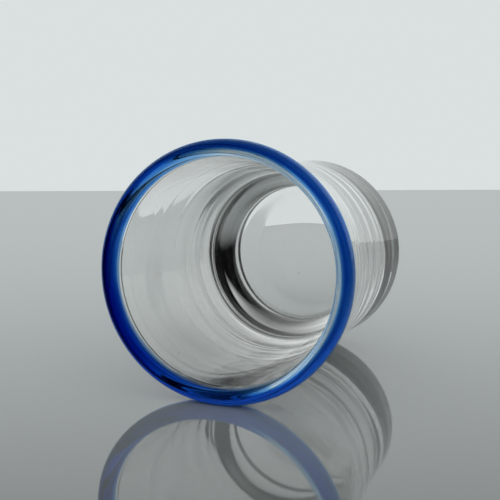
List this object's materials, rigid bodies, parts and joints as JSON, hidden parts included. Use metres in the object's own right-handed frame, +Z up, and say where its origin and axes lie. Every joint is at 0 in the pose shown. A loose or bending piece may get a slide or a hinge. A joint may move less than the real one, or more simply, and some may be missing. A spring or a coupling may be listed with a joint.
{
  "type": "tumbler",
  "caption": "Tapering clear glass tumbler with a heavy solid base and a blue glass ring round its rounded lip.",
  "frame": {"origin": "centre of the flat ring that the glass stands on, in the plane of the standing face", "axes": "+Z up along the axis of the glass, towards its mouth; it is round about Z, so X and Y are alike"},
  "size_m": [0.0862, 0.0862, 0.093],
  "materials": {
    "clear_glass": "clear, fire-polished, with faint tooling rings and a few seeds",
    "blue_glass": "deep cobalt blue, streaky, glossy"
  },
  "bodies": {
    "root": {"bowl": "clear_glass", "lip_wrap": "blue_glass"}
  },
  "joints": []
}
